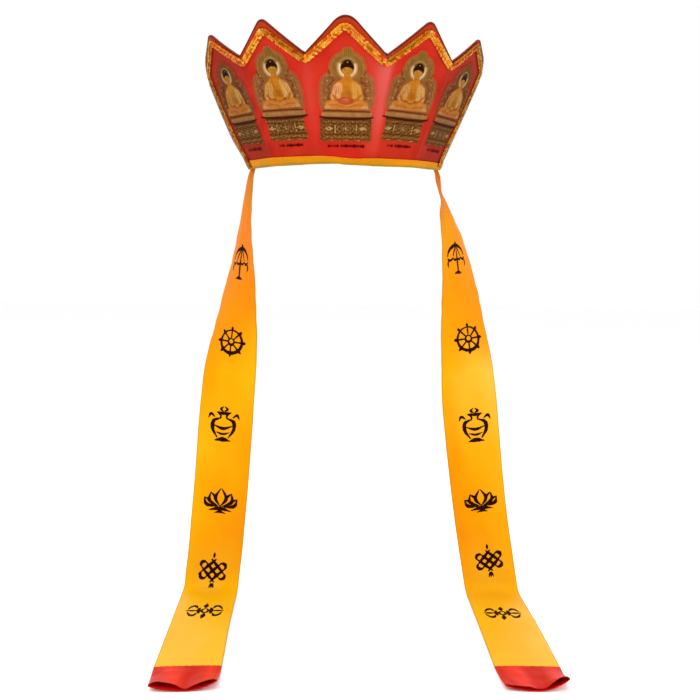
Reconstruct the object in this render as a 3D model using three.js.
// A monk's ceremonial hat: a five-point crown band worn round the front of the head, with a braided
// edge, a bound lower edge and two long ribbons that hang from its lower corners.
// Millimetres, +Z up. The origin is on the axis of the head hollow, level with the middle of the
// band's lower edge at the front. The front faces -Y, and the wearer's left is at +X.
import * as THREE from "three";

// ---- Driving dimensions: millimetres, and degrees where a name says so ----

// The band is cut from a ring sector and bent into a cone, so it flares evenly.
const RIM_RADIUS = 118; // outer face at the lower edge
const PANEL_DEGREES = 25.5; // of azimuth that each of the five panels takes up
const FLARE_DEGREES = 29.7; // of the wall from the vertical
const WEAR_TILT_DEGREES = 3.3; // the front lower edge sits lower than the two ends
const BAND_WALL = 2; // satin, stiffening and backing together
const BAND_FOOT = 1.6; // height of the band's raw lower edge inside its binding
const END_CURL = 16.7; // how far the wall rolls inwards from the cone, at a height on its end edge
const CURL_HEIGHT = 150;
const CURL_START_PANEL = 0.75; // the roll begins here and is full at the band's end
const CURL_RISE = 1.5; // how it grows with the height
const CURL_SPREAD = 1.3; // how it grows towards the end
const PANEL_FLATNESS = 0.6; // 0 is a round bend, 1 is flat panels between sharp creases
const SEAM_GAP = 0.3; // between two sewn pieces

// Half of the zigzag top edge. panel counts panels from the middle of the front one, and height
// runs up the wall from the bound lower edge. Each row is a corner of the straight cuts, before
// the tips are rounded off.
const HALF_TOP_EDGE = [
  { panel: 0.0, height: 155.4, kind: "tip" },
  { panel: 0.5, height: 113.5, kind: "valley" },
  { panel: 1.0, height: 153.6, kind: "tip" },
  { panel: 1.5, height: 117.8, kind: "valley" },
  { panel: 2.0, height: 152.4, kind: "tip" },
  { panel: 2.5, height: 120.4, kind: "end" },
];
const TIP_ROUNDING = 6; // distance from a tip over which its two cuts blend
const TIP_SLOPE = 0.9; // rise of the cuts towards a tip
const BAND_COLUMNS_PER_PANEL = 10;
const BAND_ROWS = 14;

const BINDING_HEIGHT = 8.2;
const BINDING_WALL = 1;

const BRAID_WIDTH = 7;
const BRAID_THICKNESS = 1.4;
const BRAID_STEP = 5;
const BRAID_ACROSS = 2;
const BRAID_MARGIN = { tip: 9.3, valley: 1.1, end: 2.5 }; // down from each corner to the braid
const BRAID_END_INSET = 2.5; // from the band's end edge to the braid
const BRAID_FOOT = 0.4; // the braid runs down over the binding almost to the edge
const BRAID_RAMP = { from: 9.2, to: 14.2 }; // heights between which it comes down off the binding

const RIBBON_THICKNESS = 2; // a flat tube of satin, pressed
const RIBBON_ACROSS = 4;
const RIBBON_STEPS_PER_ROW = 3;

// Ribbon routes. x, y, z is the middle of the ribbon, width is its breadth there, turn is 0 where
// it hangs edge-on to the front and 90 where it faces it, and bow is how far its middle stands out
// from its two edges. The first row is the gathered top, sewn behind the band's lower corner.
const RIBBON_LEFT_ROUTE = [
  { x: -105.8, y: -58.5, z: 16.2, width: 9, turn: 36, bow: 0 },
  { x: -100.6, y: -55.0, z: 5.9, width: 10, turn: 36, bow: 0 },
  { x: -104.4, y: -53.2, z: -5, width: 13, turn: 26, bow: 0.5 },
  { x: -108.2, y: -52.4, z: -29, width: 25, turn: 24, bow: 1.5 },
  { x: -111.1, y: -52, z: -56, width: 39, turn: 24, bow: 2.5 },
  { x: -113.7, y: -52, z: -92, width: 51, turn: 30, bow: 3 },
  { x: -117.4, y: -52, z: -130, width: 58, turn: 42, bow: 3 },
  { x: -122.6, y: -52, z: -174, width: 61, turn: 57, bow: 3 },
  { x: -128.7, y: -52, z: -228, width: 61, turn: 78, bow: 3 },
  { x: -134.0, y: -52, z: -295, width: 61, turn: 89, bow: 2.5 },
  { x: -139.0, y: -52, z: -365, width: 61, turn: 90, bow: 2 },
  { x: -144.6, y: -52.5, z: -430, width: 61, turn: 90, bow: 1.5 },
  { x: -148.6, y: -54, z: -466, width: 61, turn: 90, bow: 0.6 },
  { x: -149.0, y: -58, z: -476, width: 61, turn: 90, bow: 0 },
  { x: -149.1, y: -67, z: -480.2, width: 61, turn: 90, bow: 0 },
  { x: -148.3, y: -85, z: -481, width: 61, turn: 90, bow: 0 },
  { x: -145.0, y: -155, z: -481, width: 60, turn: 90, bow: 0 },
  { x: -139.8, y: -246, z: -481, width: 61, turn: 90, bow: 0 },
];
const RIBBON_RIGHT_ROUTE = [
  { x: 105.8, y: -58.5, z: 16.2, width: 9, turn: 36, bow: 0 },
  { x: 100.6, y: -55.0, z: 5.9, width: 11, turn: 36, bow: 0 },
  { x: 105.0, y: -53.2, z: -5, width: 14, turn: 24, bow: 0 },
  { x: 109.5, y: -52.4, z: -21, width: 21, turn: 0, bow: 0.5 },
  { x: 116.8, y: -52, z: -39, width: 31, turn: 27, bow: 1.5 },
  { x: 123.7, y: -52, z: -68, width: 43, turn: 37, bow: 2.5 },
  { x: 130.1, y: -52, z: -100, width: 52, turn: 45, bow: 3 },
  { x: 136.0, y: -52, z: -139, width: 58, turn: 54, bow: 3 },
  { x: 139.9, y: -52, z: -176, width: 61, turn: 61, bow: 3 },
  { x: 144.4, y: -52, z: -213, width: 61, turn: 75, bow: 3 },
  { x: 148.3, y: -52, z: -260, width: 62, turn: 89, bow: 2.5 },
  { x: 156.0, y: -52, z: -331, width: 61, turn: 90, bow: 2 },
  { x: 165.4, y: -52, z: -400, width: 60, turn: 90, bow: 1.5 },
  { x: 176.2, y: -54, z: -466, width: 60, turn: 90, bow: 0.6 },
  { x: 177.4, y: -58, z: -476, width: 60, turn: 90, bow: 0 },
  { x: 177.7, y: -67, z: -480.2, width: 60, turn: 90, bow: 0 },
  { x: 177.9, y: -85, z: -481, width: 60, turn: 90, bow: 0 },
  { x: 177.8, y: -155, z: -481, width: 61, turn: 90, bow: 0 },
  { x: 176.6, y: -246, z: -481, width: 60, turn: 90, bow: 0 },
];

// The red open tube on each ribbon's end: drift is how far it veers sideways over its length, and
// the lifts say how high its two folded sides stand off the ground at the mouth.
const END_LENGTH = 43;
const END_WALL = 1;
const END_PRESSED_GAP = 0.4; // between the two layers where the tube is sewn shut
const END_MOUTH_GAPE = 7; // most that the two layers part at the mouth
const END_ALONG = 8;
const END_ACROSS = 10;
const LEFT_END = { drift: 0, liftLeft: 6, liftRight: 12 };
const RIGHT_END = { drift: 2, liftLeft: 7, liftRight: 12 };

const RED_SATIN = { color: 0xc8281e, roughness: 0.45, metalness: 0 };
const YELLOW_SATIN = { color: 0xf2ae1c, roughness: 0.4, metalness: 0 };
const GOLD_BRAID = { color: 0xd88a1e, roughness: 0.4, metalness: 0.6 };

// ---- Worked-out sizes ----

const PANEL_RADIANS = THREE.MathUtils.degToRad(PANEL_DEGREES);
const FLARE_RADIANS = THREE.MathUtils.degToRad(FLARE_DEGREES);
const PATTERN_REACH = RIM_RADIUS / Math.sin(FLARE_RADIANS); // pattern centre to the lower edge
const PATTERN_RADIANS = PANEL_RADIANS * Math.sin(FLARE_RADIANS); // a panel's angle on the flat cut
const MEAN_FLAT_RADIUS = (1 + 2 * Math.cos(PANEL_RADIANS / 2)) / 3; // of a flat panel, rim radius 1

const TOP_EDGE = [
  ...HALF_TOP_EDGE.slice(1).reverse().map((row) => ({ ...row, panel: -row.panel })),
  ...HALF_TOP_EDGE,
];
const END_PANEL = TOP_EDGE.at(-1).panel;
const LAST_PANEL = END_PANEL - 0.5; // the middle of the panel at either end

// ---- Solids from grids of points ----

// A closed slab between two grids of points of one size, front[i][j] and back[i][j]. The front
// looks along (step in i) x (step in j). With wraps, j runs round a tube and its ends meet.
function slab(front, back, wraps = false) {
  const rows = front.length;
  const columns = front[0].length;
  const positions = [front, back].flat(2).flatMap((point) => point.toArray());
  const triangles = [];
  const at = (side, i, j) => (side * rows + i) * columns + (j % columns);
  const quad = (a, b, c, d) => triangles.push(a, b, c, a, c, d);
  const lastColumn = wraps ? columns : columns - 1;
  for (let i = 0; i + 1 < rows; i++) {
    for (let j = 0; j < lastColumn; j++) {
      quad(at(0, i, j), at(0, i + 1, j), at(0, i + 1, j + 1), at(0, i, j + 1));
      quad(at(1, i, j), at(1, i, j + 1), at(1, i + 1, j + 1), at(1, i + 1, j));
    }
    if (!wraps) {
      quad(at(0, i + 1, 0), at(0, i, 0), at(1, i, 0), at(1, i + 1, 0));
      quad(at(0, i, lastColumn), at(0, i + 1, lastColumn), at(1, i + 1, lastColumn), at(1, i, lastColumn));
    }
  }
  for (let j = 0; j < lastColumn; j++) {
    quad(at(0, 0, j), at(0, 0, j + 1), at(1, 0, j + 1), at(1, 0, j));
    quad(at(0, rows - 1, j + 1), at(0, rows - 1, j), at(1, rows - 1, j), at(1, rows - 1, j + 1));
  }
  const geometry = new THREE.BufferGeometry();
  geometry.setAttribute("position", new THREE.Float32BufferAttribute(positions, 3));
  geometry.setIndex(triangles);
  geometry.computeVertexNormals();
  return geometry;
}

const range = (count) => Array.from({ length: count }, (_, index) => index);
const steps = (count) => range(count + 1).map((index) => index / count);

function namedMesh(name, geometry, look) {
  const mesh = new THREE.Mesh(geometry, new THREE.MeshStandardMaterial(look));
  mesh.name = name;
  return mesh;
}

// ---- The crown band's surface ----

// A point on the outer face of the untilted band.
function facePoint(panel, height) {
  const azimuth = panel * PANEL_RADIANS;
  const nearest = THREE.MathUtils.clamp(Math.round(panel), -LAST_PANEL, LAST_PANEL);
  const offCentre = azimuth - nearest * PANEL_RADIANS;
  const flatRadius = Math.cos(PANEL_RADIANS / 2) / Math.cos(offCentre);
  const facet = 1 + PANEL_FLATNESS * (flatRadius - MEAN_FLAT_RADIUS);
  const towardsEnd = (Math.abs(panel) - CURL_START_PANEL) / (END_PANEL - CURL_START_PANEL);
  const spread = THREE.MathUtils.clamp(towardsEnd, 0, 1) ** CURL_SPREAD;
  const curl = END_CURL * (Math.max(height, 0) / CURL_HEIGHT) ** CURL_RISE * spread;
  const radius = (RIM_RADIUS + height * Math.sin(FLARE_RADIANS)) * facet - curl;
  return new THREE.Vector3(
    radius * Math.sin(azimuth),
    -radius * Math.cos(azimuth),
    height * Math.cos(FLARE_RADIANS),
  );
}

// The same point moved along the wall's normal, outwards for a positive offset.
function bandPoint(panel, height, outward) {
  const panelStep = 0.03;
  const heightStep = 0.5;
  const along = facePoint(panel + panelStep, height).sub(facePoint(panel - panelStep, height));
  const up = facePoint(panel, height + heightStep).sub(facePoint(panel, height - heightStep));
  return facePoint(panel, height).addScaledVector(along.cross(up).normalize(), outward);
}

// The flat cut: a ring sector, where the zigzag edges are straight lines.
function toPattern({ panel, height }) {
  const reach = PATTERN_REACH + height;
  const angle = PATTERN_RADIANS * panel;
  return new THREE.Vector2(reach * Math.sin(angle), reach * Math.cos(angle));
}

function fromPattern(point) {
  return { panel: Math.atan2(point.x, point.y) / PATTERN_RADIANS, height: point.length() - PATTERN_REACH };
}

// The height of the zigzag edge above a place on the lower edge, with its tips rounded off.
function topHeight(panel) {
  const index = TOP_EDGE.findIndex((row, i) => i > 0 && panel <= row.panel + 1e-9);
  const from = toPattern(TOP_EDGE[index - 1]);
  const cut = toPattern(TOP_EDGE[index]).sub(from);
  const ray = toPattern({ panel, height: 1 - PATTERN_REACH }); // of length 1
  const reach = from.cross(cut) / ray.cross(cut);
  const nearestTip = THREE.MathUtils.clamp(Math.round(panel), -LAST_PANEL, LAST_PANEL);
  const offTip = Math.abs(panel - nearestTip) * PATTERN_RADIANS * reach;
  return reach - PATTERN_REACH - TIP_SLOPE * (Math.hypot(offTip, TIP_ROUNDING) - offTip);
}

const BAND_COLUMNS = 2 * END_PANEL * BAND_COLUMNS_PER_PANEL;
const bandPanels = steps(BAND_COLUMNS).map((share) => END_PANEL * (2 * share - 1));

function crownBand() {
  const face = (outward) =>
    bandPanels.map((panel) =>
      steps(BAND_ROWS).map((share) =>
        bandPoint(panel, BAND_FOOT + share * (topHeight(panel) - BAND_FOOT), outward),
      ),
    );
  return namedMesh("crown_band", slab(face(0), face(-BAND_WALL)), RED_SATIN);
}

// A folded strip round the band's lower edge. The section's rows run down inside the hat and up
// outside it, on the strip's two faces.
function bottomBinding() {
  const outside = SEAM_GAP + BINDING_WALL;
  const inside = -BAND_WALL - outside;
  const chamfer = 1;
  const cover = [
    { height: BINDING_HEIGHT, outward: inside },
    { height: chamfer, outward: inside },
    { height: 0, outward: inside + chamfer },
    { height: 0, outward: outside - chamfer },
    { height: chamfer, outward: outside },
    { height: BINDING_HEIGHT, outward: outside },
  ];
  const innerFoot = BAND_FOOT - SEAM_GAP;
  const lining = [
    { height: BINDING_HEIGHT, outward: inside + BINDING_WALL },
    { height: innerFoot + SEAM_GAP, outward: inside + BINDING_WALL },
    { height: innerFoot, outward: -BAND_WALL },
    { height: innerFoot, outward: 0 },
    { height: innerFoot + SEAM_GAP, outward: SEAM_GAP },
    { height: BINDING_HEIGHT, outward: SEAM_GAP },
  ];
  const strip = (section) =>
    bandPanels.map((panel) => section.map((row) => bandPoint(panel, row.height, row.outward)));
  return namedMesh("bottom_binding", slab(strip(cover), strip(lining)), YELLOW_SATIN);
}

// The braid's outer border on the flat cut, from the left lower corner over the tips to the right.
function braidBorder() {
  const insetPanel = (height) => END_PANEL - BRAID_END_INSET / ((PATTERN_REACH + height) * PATTERN_RADIANS);
  const foot = { panel: insetPanel(BRAID_FOOT), height: BRAID_FOOT };
  const corners = TOP_EDGE.map(({ panel, height, kind }) => {
    const lowered = height - BRAID_MARGIN[kind];
    return { panel: kind === "end" ? Math.sign(panel) * insetPanel(lowered) : panel, height: lowered };
  });
  return [{ ...foot, panel: -foot.panel }, ...corners, foot].map(toPattern);
}

// The border moved inwards by a width, with mitred corners.
function parallelBorder(border, width) {
  const inwards = border.slice(1).map((point, i) => {
    const run = point.clone().sub(border[i]).normalize();
    return new THREE.Vector2(run.y, -run.x);
  });
  return border.map((point, i) => {
    const before = inwards[Math.max(i - 1, 0)];
    const after = inwards[Math.min(i, inwards.length - 1)];
    return point.clone().addScaledVector(before.clone().add(after), width / (1 + before.dot(after)));
  });
}

function edgeBraid() {
  const outer = braidBorder();
  const inner = parallelBorder(outer, BRAID_WIDTH);
  const stations = outer.slice(1).flatMap((point, i) => {
    const count = Math.ceil(point.distanceTo(outer[i]) / BRAID_STEP);
    const isLast = i === outer.length - 2;
    return steps(count)
      .slice(0, isLast ? undefined : -1)
      .map((share) => {
        const near = inner[i].clone().lerp(inner[i + 1], share);
        const far = outer[i].clone().lerp(point, share);
        return steps(BRAID_ACROSS).map((place) => near.clone().lerp(far, place));
      });
  });
  const climb = SEAM_GAP + BINDING_WALL;
  const face = (lift) =>
    stations.map((station) =>
      station.map((point) => {
        const { panel, height } = fromPattern(point);
        const descent = THREE.MathUtils.smoothstep(height, BRAID_RAMP.from, BRAID_RAMP.to);
        return bandPoint(panel, height, SEAM_GAP + lift + climb * (1 - descent));
      }),
    );
  return namedMesh("edge_braid", slab(face(BRAID_THICKNESS), face(0)), GOLD_BRAID);
}

// ---- The ribbons ----

// Places along a route: the middle, the direction across the ribbon and the way its face looks.
function ribbonStations(route) {
  const side = Math.sign(route[0].x);
  const middle = new THREE.CatmullRomCurve3(route.map((row) => new THREE.Vector3(row.x, row.y, row.z)));
  const last = route.length - 1;
  return steps(last * RIBBON_STEPS_PER_ROW).map((share) => {
    const index = Math.min(Math.floor(share * last), last - 1);
    const within = share * last - index;
    const value = (name) => THREE.MathUtils.lerp(route[index][name], route[index + 1][name], within);
    const turn = THREE.MathUtils.degToRad(value("turn"));
    const tangent = middle.getTangent(share);
    const across = new THREE.Vector3(Math.sin(turn), side * Math.cos(turn), 0);
    across.addScaledVector(tangent, -across.dot(tangent)).normalize();
    return {
      middle: middle.getPoint(share),
      across,
      facing: tangent.clone().cross(across),
      width: value("width"),
      bow: value("bow"),
    };
  });
}

function ribbon(name, route) {
  const stations = ribbonStations(route);
  const face = (depth) =>
    stations.map(({ middle, across, facing, width, bow }) =>
      steps(RIBBON_ACROSS).map((share) => {
        const place = 2 * share - 1;
        return middle
          .clone()
          .addScaledVector(across, (place * width) / 2)
          .addScaledVector(facing, depth + bow * (0.5 - place ** 2));
      }),
    );
  return namedMesh(name, slab(face(RIBBON_THICKNESS / 2), face(-RIBBON_THICKNESS / 2)), YELLOW_SATIN);
}

// A flattened tube on the ground, sewn shut at the ribbon and gaping at its mouth in two lobes,
// with the upper layer sunk onto the lower one between them.
function ribbonEnd(name, route, { drift, liftLeft, liftRight }) {
  const { middle, across, facing, width } = ribbonStations(route).at(-1);
  const along = across.clone().cross(facing);
  const layers = 2 * END_WALL + END_PRESSED_GAP;
  const skin = (inset) =>
    steps(END_ALONG).map((share) =>
      range(2 * END_ACROSS).map((index) => {
        const isTop = index < END_ACROSS;
        const half = isTop ? (index + 0.5) / END_ACROSS : (2 * END_ACROSS - index - 0.5) / END_ACROSS;
        const place = 2 * half - 1;
        const open = share ** 2;
        const lift = open * (place < 0 ? liftLeft : liftRight) * place ** 2;
        const gape = open * END_MOUTH_GAPE * Math.sin(Math.PI * place) ** 2;
        const height = lift + (isTop ? layers + gape - inset : inset) - RIBBON_THICKNESS / 2;
        return middle
          .clone()
          .addScaledVector(along, SEAM_GAP + share * END_LENGTH)
          .addScaledVector(across, share * drift + place * (width / 2 - inset))
          .addScaledVector(facing, height);
      }),
    );
  return namedMesh(name, slab(skin(0), skin(END_WALL), true), RED_SATIN);
}

// ---- Assembly ----

const tilt = THREE.MathUtils.degToRad(WEAR_TILT_DEGREES);
const crown = new THREE.Group();
crown.rotation.x = tilt; // about the middle of the front lower edge
crown.position.set(0, RIM_RADIUS * (Math.cos(tilt) - 1), RIM_RADIUS * Math.sin(tilt));
crown.add(crownBand(), bottomBinding(), edgeBraid());

const hat = new THREE.Group();
hat.add(
  crown,
  ribbon("ribbon_left", RIBBON_LEFT_ROUTE),
  ribbon("ribbon_right", RIBBON_RIGHT_ROUTE),
  ribbonEnd("ribbon_end_left", RIBBON_LEFT_ROUTE, LEFT_END),
  ribbonEnd("ribbon_end_right", RIBBON_RIGHT_ROUTE, RIGHT_END),
);

export default hat;
